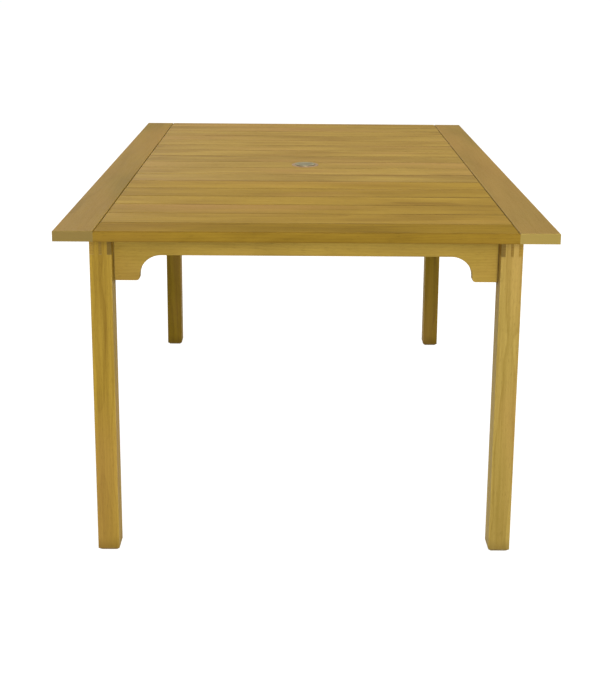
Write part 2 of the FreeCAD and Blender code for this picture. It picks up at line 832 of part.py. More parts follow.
def dowel_pattern():
    """One wooden dowel, centred on its own origin."""
    body = new_body("joint_dowel")
    half = "(dims.dowel_length / 2)"
    radius = "(dims.dowel_diameter / 2)"
    corners = [
        ("0", f"-{half}"),
        (f"({radius} - dims.dowel_chamfer)", f"-{half}"),
        (radius, f"-({half} - dims.dowel_chamfer)"),
        (radius, f"({half} - dims.dowel_chamfer)"),
        (f"({radius} - dims.dowel_chamfer)", half),
        ("0", half),
    ]
    revolve(body, corners)
    return body


def frame_corners():
    """Signs of the four corners of the frame, across and along."""
    return [(across, along) for across in (-1, 1) for along in (-1, 1)]


def short_screw_spots():
    """Batten screws, one for each field slat and side, and the screws of the parasol block."""
    level = f"({TOP_UNDERSIDE} - dims.short_grip)"
    spots = []
    for number in range(1, field_count() + 1):
        for across in both_sides("dims.batten_offset"):
            spots.append(((across, field_slat_y(number), level), "+z"))
    for across, along in block_screw_places():
        spots.append(((across, along, level), "+z"))
    return spots


def long_screw_spots():
    """Screws that hold the top down on the beams and on the aprons."""
    level = f"({TOP_UNDERSIDE} - dims.long_grip)"
    spots = []
    for number in beam_screw_slats():
        for across in both_sides(BEAM_SCREW_X):
            spots.append(((across, field_slat_y(number), level), "+z"))
    for along in both_sides(APRON_Y):
        for across in apron_screw_places():
            spots.append(((across, along, level), "+z"))
    return spots


def bolt_spots(offset):
    """Places of the bolts, or of what sits on their seats, moved outwards by an offset."""
    spots = []
    for across, along in frame_corners():
        toward = "+x" if across < 0 else "-x"
        seat = f"{across} * ({BOLT_SEAT_X} + {offset})"
        spots.append(((seat, f"{along} * {APRON_Y}", JOINT_LEVEL), toward))
    return spots


def washer_spots():
    """Washers on the floors of the bolt recesses."""
    outward = {"+x": "-x", "-x": "+x"}
    return [(spot, outward[toward]) for spot, toward in bolt_spots("0")]


def nut_spots():
    """Barrel nuts inside the ends of the aprons."""
    across_apron = f"({INNER_X} - dims.nut_inset)"
    spots = []
    for across, along in frame_corners():
        spots.append(((f"{across} * {across_apron}", f"{along} * {APRON_Y}", JOINT_LEVEL), "+y"))
    return spots


def dowel_spots():
    """Dowels between aprons and legs, brackets and legs, and brackets and beams."""
    bracket_level = f"({BEAM_UNDERSIDE} - dims.bracket_dowel_down)"
    spots = []
    for across, along in frame_corners():
        leg_x = f"{across} * {LEG_X}"
        for _, level in dowel_levels():
            spots.append(((f"{across} * {INNER_X}", f"{along} * {APRON_Y}", level), "+x"))
        spots.append(((leg_x, f"{along} * {INNER_Y}", bracket_level), "+y"))
        spots.append(((leg_x, f"{along} * ({INNER_Y} - dims.bracket_dowel_in)", BEAM_UNDERSIDE), "+z"))
    return spots


def build_frame():
    """Legs, beams, aprons and brackets, each drawn once and mirrored."""
    leg = build_leg("leg_front_left")
    back_leg = mirror(leg, "leg_back_left", "y")
    beam = build_beam("side_beam_left")
    apron = build_apron("apron_front")
    bracket = build_bracket("bracket_front_left")
    back_bracket = mirror(bracket, "bracket_back_left", "y")
    return [
        leg,
        back_leg,
        mirror(leg, "leg_front_right", "x"),
        mirror(back_leg, "leg_back_right", "x"),
        beam,
        mirror(beam, "side_beam_right", "x"),
        apron,
        mirror(apron, "apron_back", "y"),
        bracket,
        back_bracket,
        mirror(bracket, "bracket_front_right", "x"),
        mirror(back_bracket, "bracket_back_right", "x"),
    ]


def build_top():
    """Slats, rails, battens and the parasol fittings."""
    rail = build_rail("rail_left")
    batten = build_batten("batten_left")
    return build_slats() + [
        rail,
        mirror(rail, "rail_right", "x"),
        batten,
        mirror(batten, "batten_right", "x"),
        build_parasol_block("parasol_block"),
        build_parasol_ring("parasol_ring"),
        build_parasol_cap("parasol_cap"),
    ]


def build_fasteners():
    """Groups of identical screws, bolts, washers, nuts and dowels."""
    return [
        scatter("short_screws", screw_pattern("short"), short_screw_spots()),
        scatter("long_screws", screw_pattern("long"), long_screw_spots()),
        scatter("apron_bolts", bolt_pattern(), bolt_spots("dims.washer_thick")),
        scatter("apron_washers", washer_pattern(), washer_spots()),
        scatter("barrel_nuts", nut_pattern(), nut_spots()),
        scatter("joint_dowels", dowel_pattern(), dowel_spots()),
    ]


def write_parts(nodes):
    """Check every object and write one file for each node."""
    doc.recompute()
    for item in doc.Objects:
        if "Invalid" in item.State or "Error" in item.State:
            raise RuntimeError(f"{item.Label} is in state {item.State}")
    os.makedirs("parts", exist_ok=True)
    for node in nodes:
        shape = node.Shape
        if shape.isNull() or not shape.isValid() or not shape.Solids:
            raise RuntimeError(f"{node.Label} has no valid solid")
        shape.exportStep(f"parts/{node.Label}.step")


fill_sheet()
write_parts(build_top() + build_frame() + build_fasteners())
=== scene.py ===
"""Looks of a slatted garden dining table: oiled wood, parasol fitting, steel, studio and camera.

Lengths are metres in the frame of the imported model: X across the table, Y along it, Z up from the floor.
"""

import logging
import math
import random
from collections.abc import Callable, Mapping
from dataclasses import dataclass, replace
from enum import Enum

import bmesh
import bpy
from mathutils import Color, Matrix, Vector


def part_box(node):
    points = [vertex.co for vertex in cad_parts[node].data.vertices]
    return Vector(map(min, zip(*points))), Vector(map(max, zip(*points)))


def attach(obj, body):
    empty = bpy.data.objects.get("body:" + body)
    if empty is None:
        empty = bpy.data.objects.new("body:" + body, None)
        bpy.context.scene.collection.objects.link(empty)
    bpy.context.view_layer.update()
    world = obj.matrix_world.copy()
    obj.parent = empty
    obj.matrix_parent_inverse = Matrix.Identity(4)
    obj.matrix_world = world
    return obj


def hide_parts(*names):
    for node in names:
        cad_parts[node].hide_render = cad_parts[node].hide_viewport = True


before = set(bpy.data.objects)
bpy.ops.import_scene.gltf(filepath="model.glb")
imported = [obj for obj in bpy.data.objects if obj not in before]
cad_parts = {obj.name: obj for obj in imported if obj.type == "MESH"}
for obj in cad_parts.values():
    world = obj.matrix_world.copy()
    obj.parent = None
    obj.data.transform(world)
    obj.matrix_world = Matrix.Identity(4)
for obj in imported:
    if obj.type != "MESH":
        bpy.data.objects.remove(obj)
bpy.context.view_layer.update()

LOG = logging.getLogger("dining_table")
SCREEN_WHITE = 255
NOISE_MIDDLE = 0.5
# Sockets of the Mix node in its colour mode.
MIX_SHARE, MIX_FIRST, MIX_SECOND, MIX_RESULT = 0, 6, 7, 2
# Metres along the grain from one seed's patterns to the next seed's.
SEED_STRIDE = 3.7
# Points nearer than this count as one.
WELD = 1e-6
SHARP_ANGLE = math.radians(35)
ROUND_PROFILE = 0.5
KEEP_MATERIAL = -1

Colour = tuple[float, float, float]
Point = tuple[float, float, float]

WHITE: Colour = (1.0, 1.0, 1.0)


class Seed(Enum):
    """First seed of each kind of board, so that no two boards have the same figure."""

    RAIL = 31
    BATTEN = 33
    LEG = 41
    BRACKET = 51
    BEAM = 61
    APRON = 71
    DOWEL = 81
    BLOCK = 91


def screen(red: int, green: int, blue: int) -> Colour:
    """Linear colour of an 8-bit screen colour."""
    return tuple(Color([part / SCREEN_WHITE for part in (red, green, blue)]).from_srgb_to_scene_linear())


def toned(colour: Colour, tone: float = 1.0) -> tuple[float, float, float, float]:
    """Opaque socket colour, made lighter or darker by one factor."""
    return (*(tone * part for part in colour), 1.0)


class Grain(Enum):
    """Way a board's fibres run, as the numbers of its axes along, across and through the grain."""

    CROSSWISE = (0, 1, 2)
    LENGTHWISE = (1, 0, 2)
    UPRIGHT = (2, 0, 1)


class Wire:
    """Output socket of a node that takes part in Python expressions."""

    def __init__(self, recipe: "Recipe", socket: bpy.types.NodeSocket) -> None:
        """Wraps one output socket of a recipe."""
        self.recipe = recipe
        self.socket = socket

    def join(self, operation: str, *terms: "Wire | float") -> "Wire":
        """Result of a Math node on the given terms."""
        return self.recipe.wire("ShaderNodeMath", {"operation": operation}, dict(enumerate(terms)))

    def __add__(self, other: "Wire | float") -> "Wire":
        """Sum."""
        return self.join("ADD", self, other)

    def __radd__(self, other: float) -> "Wire":
        """Sum with a number on the left."""
        return self.join("ADD", other, self)

    def __sub__(self, other: "Wire | float") -> "Wire":
        """Difference."""
        return self.join("SUBTRACT", self, other)

    def __rsub__(self, other: float) -> "Wire":
        """Difference from a number on the left."""
        return self.join("SUBTRACT", other, self)

    def __mul__(self, other: "Wire | float") -> "Wire":
        """Product."""
        return self.join("MULTIPLY", self, other)

    def __rmul__(self, other: float) -> "Wire":
        """Product with a number on the left."""
        return self.join("MULTIPLY", other, self)

    def __truediv__(self, other: "Wire | float") -> "Wire":
        """Quotient."""
        return self.join("DIVIDE", self, other)

    def __pow__(self, power: float) -> "Wire":
        """Power of a value that isn't negative."""
        return self.join("POWER", self, power)

    def __abs__(self) -> "Wire":
        """Distance from zero."""
        return self.join("ABSOLUTE", self)

    def least(self, other: "Wire | float") -> "Wire":
        """The lesser of two values."""
        return self.join("MINIMUM", self, other)

    def most(self, other: "Wire | float") -> "Wire":
        """The greater of two values."""
        return self.join("MAXIMUM", self, other)

    def whole(self) -> "Wire":
        """Whole number at or below the value."""
        return self.join("FLOOR", self)

    def part(self) -> "Wire":
        """What is left above the whole number."""
        return self.join("FRACT", self)

    def rise(self, low: float, high: float) -> "Wire":
        """Smooth step from 0 at the low value to 1 at the high one."""
        return self.recipe.wire(
            "ShaderNodeMapRange",
            {"interpolation_type": "SMOOTHSTEP"},
            {"Value": self, "From Min": low, "From Max": high},
        )


class Recipe:
    """Node tree of one material or sky."""

    def __init__(self, owner: bpy.types.Material | bpy.types.World) -> None:
        """Starts from the nodes that a new material or sky has.

        Args:
            owner: The material or sky.
        """
        owner.use_nodes = True
        self.owner = owner
        self.tree = owner.node_tree

    @classmethod
    def named(cls, name: str) -> "Recipe":
        """Recipe of a new material."""
        return cls(bpy.data.materials.new(name))

    def feed(self, node: bpy.types.Node, sockets: Mapping[str | int, object]) -> None:
        """Sets or links the inputs of a node.

        Args:
            node: The node that takes the inputs.
            sockets: Plain values or wires, by the name or number of the input.
        """
        for key, given in sockets.items():
            if isinstance(given, Wire):
                self.tree.links.new(given.socket, node.inputs[key])
            else:
                node.inputs[key].default_value = given

    def node(
        self, kind: str, settings: Mapping[str, object], sockets: Mapping[str | int, object]
    ) -> bpy.types.Node:
        """Adds a node.

        Args:
            kind: Type name of the node.
            settings: Properties of the node, which are set first.
            sockets: Plain values or wires, by the name or number of the input.

        Returns:
            The new node.
        """
        node = self.tree.nodes.new(kind)
        for key, setting in settings.items():
            setattr(node, key, setting)
        self.feed(node, sockets)
        return node

    def wire(
        self,
        kind: str,
        settings: Mapping[str, object],
        sockets: Mapping[str | int, object],
        output: str | int = 0,
    ) -> Wire:
        """Adds a node and gives one of its outputs.

        Args:
            kind: Type name of the node.
            settings: Properties of the node, which are set first.
            sockets: Plain values or wires, by the name or number of the input.
            output: Name or number of the output.

        Returns:
            The chosen output.
        """
        return Wire(self, self.node(kind, settings, sockets).outputs[output])

    def axes(self) -> list[Wire]:
        """Splits the object coordinates.

        Returns:
            X, Y and Z as three values.
        """
        point = self.wire("ShaderNodeTexCoord", {}, {}, "Object")
        split = self.node("ShaderNodeSeparateXYZ", {}, {0: point})
        return [Wire(self, output) for output in split.outputs]

    def noise(self, spot: tuple[Wire | float, ...], detail: float, roughness: float) -> Wire:
        """Noise of one cell per unit, centred on zero.

        Args:
            spot: Coordinates of the noise, already scaled.
            detail: Number of finer layers.
            roughness: Weight of the finer layers.

        Returns:
            Values from about -0.3 to 0.3.
        """
        place = self.wire("ShaderNodeCombineXYZ", {}, dict(enumerate(spot)))
        values = {"Vector": place, "Scale": 1.0, "Detail": detail, "Roughness": roughness}
        return self.wire("ShaderNodeTexNoise", {}, values) - NOISE_MIDDLE

    def chance(self, number: Wire) -> Wire:
        """Random value from 0 to 1 for each whole number."""
        return self.wire("ShaderNodeTexWhiteNoise", {"noise_dimensions": "1D"}, {"W": number}, "Value")

    def mix(self, share: Wire, first: object, second: object) -> Wire:
        """Colour between two colours.

        Args:
            share: How much of the second colour shows, from 0 to 1.
            first: Colour or wire at 0.
            second: Colour or wire at 1.

        Returns:
            The mixed colour.
        """
        sockets = {MIX_SHARE: share, MIX_FIRST: first, MIX_SECOND: second}
        return self.wire("ShaderNodeMix", {"data_type": "RGBA"}, sockets, MIX_RESULT)

    def blend(self, share: Wire, first: Wire, second: Wire) -> Wire:
        """Shader between two shaders, the second one where the share is 1."""
        return self.wire("ShaderNodeMixShader", {}, dict(enumerate((share, first, second))))

    def bump(self, height: Wire, depth: float, strength: float) -> Wire:
        """Surface normal of a height in parts of a depth."""
        return self.wire(
            "ShaderNodeBump", {}, {"Height": height, "Distance": depth, "Strength": strength}
        )

    def finish(self, **sockets: object) -> bpy.types.Material:
        """Feeds a material's surface shader, with spaces for the underscores of its socket names.

        Args:
            **sockets: Plain values or wires for the shader.

        Returns:
            The finished material.
        """
        shader = self.tree.nodes["Principled BSDF"]
        self.feed(shader, {key.replace("_", " "): given for key, given in sockets.items()})
        return self.owner


@dataclass(frozen=True)
class Board:
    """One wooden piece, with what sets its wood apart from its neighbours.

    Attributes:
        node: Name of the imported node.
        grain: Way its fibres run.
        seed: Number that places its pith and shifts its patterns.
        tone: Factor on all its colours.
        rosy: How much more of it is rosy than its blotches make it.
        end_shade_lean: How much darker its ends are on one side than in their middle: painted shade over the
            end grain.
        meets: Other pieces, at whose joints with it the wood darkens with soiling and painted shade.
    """

    node: str
    grain: Grain
    seed: int
    tone: float = 1.0
    rosy: float = 0.0
    end_shade_lean: float = 0.0
    meets: tuple[str, ...] = ()


@dataclass(frozen=True)
class Figure:
    """Scale of one pattern in wood: cells per metre along and across the grain, and its finer layers."""

    along: float
    across: float
    layers: float
    weight: float


@dataclass(frozen=True)
class Cells:
    """Scale of one pattern that has no grain: cells per metre on each axis, and its finer layers."""

    counts: tuple[float, ...]
    layers: float
    weight: float

    def noise(self, recipe: Recipe, point: list[Wire]) -> Wire:
        """Noise of the pattern.

        Args:
            recipe: Recipe of the material.
            point: One coordinate for each count.

        Returns:
            Values from about -0.3 to 0.3.
        """
        spot = tuple(axis * count for axis, count in zip(point, self.counts))
        return recipe.noise(spot, self.layers, self.weight)


class GrainSpace:
    """Coordinates of one board from its middle: along, across and through the grain."""

    def __init__(self, recipe: Recipe, board: Board) -> None:
        """Sorts the coordinates of a board by its grain.

        Args:
            recipe: Recipe of the board's material.
            board: The board.
        """
        low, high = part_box(board.node)
        middle = (low + high) / 2
        axes = recipe.axes()
        self.recipe = recipe
        self.point = axes
        self.halves = [(high - low)[axis] / 2 for axis in board.grain.value]
        self.axes = [axes[axis] - middle[axis] for axis in board.grain.value]
        self.shift = board.seed * SEED_STRIDE

    def noise(self, figure: Figure) -> Wire:
        """Noise drawn out along the grain.

        Args:
            figure: Scale of the pattern.

        Returns:
            Values from about -0.3 to 0.3.
        """
        length, width, depth = self.axes
        spot = ((length + self.shift) * figure.along, width * figure.across, depth * figure.across)
        return self.recipe.noise(spot, figure.layers, figure.weight)

    def to_faces(self) -> list[Wire]:
        """Distance to the nearest end, side and broad face of the board."""
        return [half - abs(axis) for half, axis in zip(self.halves, self.axes)]

    def to_box(self, node: str) -> Wire:
        """Distance to the box of another piece.

        Args:
            node: Name of the other piece.

        Returns:
            0 inside the box, rising away from it.
        """
        low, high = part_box(node)
        gaps = [
            (low[axis] - value).most(value - high[axis]).most(0.0) for axis, value in enumerate(self.point)
        ]
        return (gaps[0] * gaps[0] + gaps[1] * gaps[1] + gaps[2] * gaps[2]) ** 0.5

    def to_edge(self) -> Wire:
        """Distance from a point on the surface to the nearest edge: the middle one of three distances."""
        end, side, face = self.to_faces()
        return end.least(side).most(end.most(side).least(face))


@dataclass(frozen=True)
class OiledWood:
    """Oiled hardwood: growth rings round a pith outside the board, streaks, fibres, pores and an edge band,
    smoothed by wear; its pale default tint is partly wear, partly a painted highlight.

    A mark is the weight of a feature in the colour, edges are the two limits of a smooth step, a reach is a
    distance, and lift, sink, rough and smooth are weights in the height of the relief and in the roughness.
    """

    pale: Colour = screen(190, 156, 56)
    deep: Colour = screen(134, 102, 26)
    rosy: Colour = screen(180, 136, 74)
    pore: Colour = screen(92, 68, 22)
    end_colour: Colour = screen(120, 96, 44)
    # Tint of the edge band: partly wear, partly a painted highlight on the rounded edges.
    edge_band: Colour = screen(202, 172, 92)
    # Colour of the soiling and painted shade in joints and corners, also of the darkening near the floor.
    dirt_and_shade: Colour = screen(72, 50, 12)
    wander: Figure = Figure(along=1.1, across=7.0, layers=2.0, weight=0.5)
    streaks: Figure = Figure(along=3.5, across=20.0, layers=5.0, weight=0.55)
    fibres: Figure = Figure(along=9.0, across=800.0, layers=3.0, weight=0.6)
    pits: Figure = Figure(along=60.0, across=1500.0, layers=1.0, weight=0.5)
    blotches: Figure = Figure(along=1.7, across=6.0, layers=2.0, weight=0.5)
    seam_patches: Figure = Figure(along=2.3, across=3.0, layers=3.0, weight=0.6)
    deep_share: float = 0.42
    ring_step: float = 0.0062
    ring_wander: float = 0.05
    ring_mark: float = 0.5
    ring_least: float = 0.25
    late_power: float = 2.5
    late_end: float = 0.92
    pith_near: float = 0.05
    pith_far: float = 0.16
    pith_lean: float = 0.02
    streak_mark: float = 1.5
    fibre_mark: float = 0.5
    pore_mark: float = 0.35
    pore_edges: tuple[float, float] = (0.1, 0.2)
    blotch_mark: float = 2.2
    end_mark: float = 0.35
    end_edges: tuple[float, float] = (0.0002, 0.0022)
    edge_band_mark: float = 0.3
    seam_mark: float = 0.75
    seam_reach: float = 0.006
    seam_patch: float = 1.0
    patch_edge: float = 0.15
    edge_band_from: float = 0.0006
    edge_band_reach: float = 0.0035
    foot_mark: float = 0.0
    foot_reach: float = 0.04
    relief: float = 0.35
    relief_depth: float = 0.0005
    fibre_lift: float = 1.2
    pore_sink: float = 0.6
    ring_sink: float = 0.35
    gloss: float = 0.12
    roughness: float = 0.58
    fibre_rough: float = 0.25
    pore_rough: float = 0.12
    wear_smooth: float = 0.08

    def rings(self, space: GrainSpace, board: Board) -> Wire:
        """Darkness of the growth rings, which cut the faces as lines and arches and the ends as arcs.

        Args:
            space: Coordinates of the board.
            board: The board, whose seed places the pith.

        Returns:
            0 in pale early wood, rising to each ring's own darkness.
        """
        luck = random.Random(board.seed)
        length, width, depth = space.axes
        offset = luck.uniform(-1.0, 1.0) * space.halves[1]
        lean = luck.uniform(-self.pith_lean, self.pith_lean)
        aside = width - offset + length * lean
        below = depth + luck.uniform(self.pith_near, self.pith_far)
        wander = space.noise(self.wander) * self.ring_wander
        count = ((aside * aside + below * below) ** 0.5 + wander) / self.ring_step
        share = count.part()
        late = share**self.late_power * (1 - share.rise(self.late_end, 1.0))
        chance = space.recipe.chance(count.whole() + board.seed)
        return late * (self.ring_least + (1 - self.ring_least) * chance)

    def seam_dirt_and_shade(self, space: GrainSpace, board: Board) -> Wire:
        """Soiling and painted shade in the corners and joints where a board meets its neighbours.

        Args:
            space: Coordinates of the board.
            board: The board, which meets at least one other piece.

        Returns:
            1 at the joint, falling to 0 over the reach of the darkening, in patches where it is patchy.
        """
        nearest = space.to_box(board.meets[0])
        for other in board.meets[1:]:
            nearest = nearest.least(space.to_box(other))
        seam_gaps = 1 - space.noise(self.seam_patches).rise(-self.patch_edge, self.patch_edge)
        return (1 - nearest.rise(0.0, self.seam_reach)) * (1 - seam_gaps * self.seam_patch)

    def material(self, board: Board) -> bpy.types.Material:
        """Makes the wood of one board.

        Args:
            board: The board that it is for.

        Returns:
            A material that fits only that board.
        """
        recipe = Recipe.named(f"{board.node}_wood")
        space = GrainSpace(recipe, board)
        rings = self.rings(space, board)
        streak = space.noise(self.streaks)
        fibre = space.noise(self.fibres)
        pores = space.noise(self.pits).rise(*self.pore_edges)
        blotch = space.noise(self.blotches)
        # End grain, with painted shade on the side towards which the board leans darker.
        end_grain_and_shade = self.end_mark + board.end_shade_lean * space.axes[1] / space.halves[1]
        end = (1 - space.to_faces()[0].rise(*self.end_edges)) * end_grain_and_shade
        edge_band = 1 - (space.to_edge() + fibre * self.edge_band_reach).rise(self.edge_band_from, self.edge_band_reach)

        tone = self.deep_share + self.ring_mark * rings + self.streak_mark * streak + self.fibre_mark * fibre
        wood = recipe.mix(tone, toned(self.pale, board.tone), toned(self.deep, board.tone))
        flush = (blotch * self.blotch_mark + board.rosy).most(0.0)
        wood = recipe.mix(flush, wood, toned(self.rosy, board.tone))
        wood = recipe.mix(pores * self.pore_mark, wood, toned(self.pore, board.tone))
        # Edge band tint: where it is pale, partly wear and partly a painted highlight.
        wood = recipe.mix(edge_band * self.edge_band_mark, wood, toned(self.edge_band, board.tone))
        wood = recipe.mix(end, wood, toned(self.end_colour, board.tone))
        if self.foot_mark:
            # Darker towards the floor, fading out over the foot reach.
            near_floor = 1 - (space.point[2] + streak * self.foot_reach).rise(0.0, self.foot_reach)
            wood = recipe.mix(near_floor * self.foot_mark, wood, toned(self.dirt_and_shade, board.tone))
        # Painted shade, with some soiling, darkens the wood where the board meets its neighbours.
        if board.meets:
            dirt_and_shade_share = self.seam_dirt_and_shade(space, board) * self.seam_mark
            wood = recipe.mix(dirt_and_shade_share, wood, toned(self.dirt_and_shade, board.tone))
        height = fibre * self.fibre_lift - pores * self.pore_sink - rings * self.ring_sink
        rough = self.roughness + fibre * self.fibre_rough + pores * self.pore_rough - edge_band * self.wear_smooth
        return recipe.finish(
            Base_Color=wood,
            Roughness=rough,
            Specular_IOR_Level=self.gloss,
            Normal=recipe.bump(height, depth=self.relief_depth, strength=self.relief),
        )


@dataclass(frozen=True)
class MouldedPlastic:
    """Grey plastic with a fine moulded texture, scuffed on top, with painted shade along the side of its
    disc.
    """

    colour: Colour = screen(177, 166, 124)
    shade: Colour = screen(138, 129, 92)
    scuff: Colour = screen(186, 176, 142)
    # Colour of the painted shade along the side of the disc.
    dirt_and_shade: Colour = screen(34, 28, 16)
    side_shade_mark: float = 0.95
    side_shade_reach: float = 0.0032
    notch_unshaded_reach: float = 0.009
    speck: Cells = Cells((2600.0, 2600.0, 2600.0), layers=2.0, weight=0.5)
    cloud: Cells = Cells((60.0, 60.0, 60.0), layers=3.0, weight=0.6)
    scratch: Cells = Cells((90.0, 900.0, 90.0), layers=2.0, weight=0.6)
    cloud_mark: float = 1.6
    shade_share: float = 0.3
    scratch_edges: tuple[float, float] = (0.12, 0.24)
    scratch_mark: float = 0.35
    scratch_sink: float = 0.5
    relief_depth: float = 0.0002
    relief: float = 0.4
    roughness: float = 0.42
    speck_rough: float = 0.3
    scratch_rough: float = 0.15

    def material(self, name: str, seat: float, notch: float) -> bpy.types.Material:
        """Makes the plastic of a cap.

        Args:
            name: Name of the material.
            seat: Height at which the cap's disc lies on the ring, along which painted shade darkens the
                disc's side.
            notch: Distance from the axis to the finger notch, round which the painted shade is left off.

        Returns:
            The material.
        """
        recipe = Recipe.named(name)
        point = recipe.axes()
        across, along, up = point
        grain = self.speck.noise(recipe, point)
        cloud = self.cloud.noise(recipe, point)
        scratch = self.scratch.noise(recipe, point).rise(*self.scratch_edges)
        shade = (cloud * self.cloud_mark + self.shade_share).most(0.0)
        body = recipe.mix(shade, toned(self.colour), toned(self.shade))
        body = recipe.mix(scratch * self.scratch_mark, body, toned(self.scuff))
        # Painted shade along the side of the disc near its seat, left off round the finger notch.
        off_notch = ((across * across + (along + notch) * (along + notch)) ** 0.5).rise(0.0, self.notch_unshaded_reach)
        dirt_and_shade_share = (1 - abs(up - seat).rise(0.0, self.side_shade_reach)) * off_notch
        body = recipe.mix(dirt_and_shade_share * self.side_shade_mark, body, toned(self.dirt_and_shade))
        return recipe.finish(
            Base_Color=body,
            Roughness=self.roughness + grain * self.speck_rough + scratch * self.scratch_rough,
            Normal=recipe.bump(grain - scratch * self.scratch_sink, self.relief_depth, self.relief),
        )


@dataclass(frozen=True)
class TurnedMetal:
    """Lacquered metal with the fine rings of a lathe and a few dull spots."""

    colour: Colour = screen(182, 150, 112)
    dull: Colour = screen(156, 126, 90)
    rings: Cells = Cells((2400.0, 2400.0), layers=2.0, weight=0.5)
    spots: Cells = Cells((110.0, 110.0, 110.0), layers=4.0, weight=0.6)
    spot_mark: float = 2.0
    dull_share: float = 0.3
    relief_depth: float = 0.0001
    relief: float = 0.3
    roughness: float = 0.4
    ring_rough: float = 0.25
    spot_rough: float = 0.3
    metallic: float = 0.3

    def material(self, name: str) -> bpy.types.Material:
        """Makes the metal of a turned piece.

        Args:
            name: Name of the material.

        Returns:
            The material.
        """
        recipe = Recipe.named(name)
        point = recipe.axes()
        across, along, up = point
        radius = (across * across + along * along) ** 0.5
        turned = self.rings.noise(recipe, [radius, up])
        spots = self.spots.noise(recipe, point)
        dull = (spots * self.spot_mark + self.dull_share).most(0.0)
        metal = recipe.mix(dull, toned(self.colour), toned(self.dull))
        return recipe.finish(
            Base_Color=metal,
            Metallic=self.metallic,
            Roughness=self.roughness + turned * self.ring_rough + spots * self.spot_rough,
            Normal=recipe.bump(turned, self.relief_depth, self.relief),
        )


@dataclass(frozen=True)
class ZincSteel:
    """Zinc-plated steel, cloudy and lightly brushed."""

    bright: Colour = screen(186, 188, 190)
    cloudy: Colour = screen(132, 134, 138)
    clouds: Cells = Cells((420.0, 420.0, 420.0), layers=4.0, weight=0.6)
    brush: Cells = Cells((3000.0, 300.0, 3000.0), layers=2.0, weight=0.5)
    cloud_mark: float = 2.0
    cloudy_share: float = 0.4
    relief_depth: float = 0.0001
    relief: float = 0.2
    roughness: float = 0.4
    cloud_rough: float = 0.4

    def material(self, name: str) -> bpy.types.Material:
        """Makes the plating of small steel pieces.

        Args:
            name: Name of the material.

        Returns:
            The material.
        """
        recipe = Recipe.named(name)
        point = recipe.axes()
        cloud = self.clouds.noise(recipe, point)
        brush = self.brush.noise(recipe, point)
        dull = cloud * self.cloud_mark + self.cloudy_share
        plating = recipe.mix(dull, toned(self.bright), toned(self.cloudy))
        return recipe.finish(
            Base_Color=plating,
            Metallic=1.0,
            Roughness=self.roughness + cloud * self.cloud_rough,
            Normal=recipe.bump(brush, self.relief_depth, self.relief),
        )


@dataclass(frozen=True)
class PaleFloor:
    """Matte white sweep that glows a little, as a lit studio floor does, and is clear from below."""

    colour: Colour = (0.25, 0.25, 0.25)
    glow: float = 0.94
    roughness: float = 0.9

    def material(self, name: str) -> bpy.types.Material:
        """Makes the floor's paint.

        Args:
            name: Name of the material.

        Returns:
            The material.
        """
        recipe = Recipe.named(name)
        recipe.finish(
            Base_Color=toned(self.colour),
            Roughness=self.roughness,
            Specular_IOR_Level=0.0,
            Emission_Color=toned(WHITE),
            Emission_Strength=self.glow,
        )
        below = recipe.wire("ShaderNodeNewGeometry", {}, {}, "Backfacing")
        clear = recipe.wire("ShaderNodeBsdfTransparent", {}, {})
        paint = Wire(recipe, recipe.tree.nodes["Principled BSDF"].outputs[0])
        one_sided = recipe.blend(below, paint, clear)
        recipe.feed(recipe.tree.nodes["Material Output"], {"Surface": one_sided})
        return recipe.owner


def coat(node: str, material: bpy.types.Material) -> None:
    """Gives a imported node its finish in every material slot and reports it.

    Args:
        node: Name of the node.
        material: Its finish.
    """
    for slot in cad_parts[node].material_slots:
        slot.material = material
    LOG.info("%s is dressed in %s", node, material.name)


def spun(profile: list[tuple[float, float]], steps: int) -> bmesh.types.BMesh:
    """Turns a half profile about the Z axis.

    Args:
        profile: Radius and height of each corner, from the axis and back to it.
        steps: Number of faces round the axis.

    Returns:
        A closed shell with its faces outwards.
    """
    shell = bmesh.new()
    corners = [shell.verts.new((radius, 0.0, height)) for radius, height in profile]
    line = [shell.edges.new(pair) for pair in zip(corners, corners[1:])]
    bmesh.ops.spin(
        shell,
        geom=corners + line,
        axis=(0.0, 0.0, 1.0),
        cent=(0.0, 0.0, 0.0),
        angle=math.tau,
        steps=steps,
        use_merge=True,
    )
    bmesh.ops.remove_doubles(shell, verts=shell.verts, dist=WELD)
    bmesh.ops.recalc_face_normals(shell, faces=shell.faces)
    return shell


def ease(shell: bmesh.types.BMesh, size: float, segments: int, test: Callable[[Vector], bool]) -> None:
    """Rounds the edges whose two ends pass a test.

    Args:
        shell: The mesh to change.
        size: Width of the rounding.
        segments: Faces across the rounding.
        test: Whether a point lies on an edge to round.
    """
    picked = [edge for edge in shell.edges if all(test(vert.co) for vert in edge.verts)]
    bmesh.ops.bevel(
        shell,
        geom=picked,
        offset=size,
        affect="EDGES",
        segments=segments,
        profile=ROUND_PROFILE,
        material=KEEP_MATERIAL,
        clamp_overlap=True,
    )


def piece(name: str, shell: bmesh.types.BMesh, material: bpy.types.Material) -> bpy.types.Object:
    """Turns a shell into an object at the origin, smooth between its sharp edges.

    Args:
        name: Name of the object.
        shell: Its mesh, which is used up.
        material: Its finish.

    Returns:
        The object, linked to the scene.
    """
    mesh = bpy.data.meshes.new(name)
    shell.to_mesh(mesh)
    shell.free()
    mesh.materials.append(material)
    mesh.shade_smooth()
    mesh.set_sharp_from_angle(angle=SHARP_ANGLE)
    made = bpy.data.objects.new(name, mesh)
    bpy.context.scene.collection.objects.link(made)
    LOG.info("%s is built and dressed in %s", name, material.name)
    return made


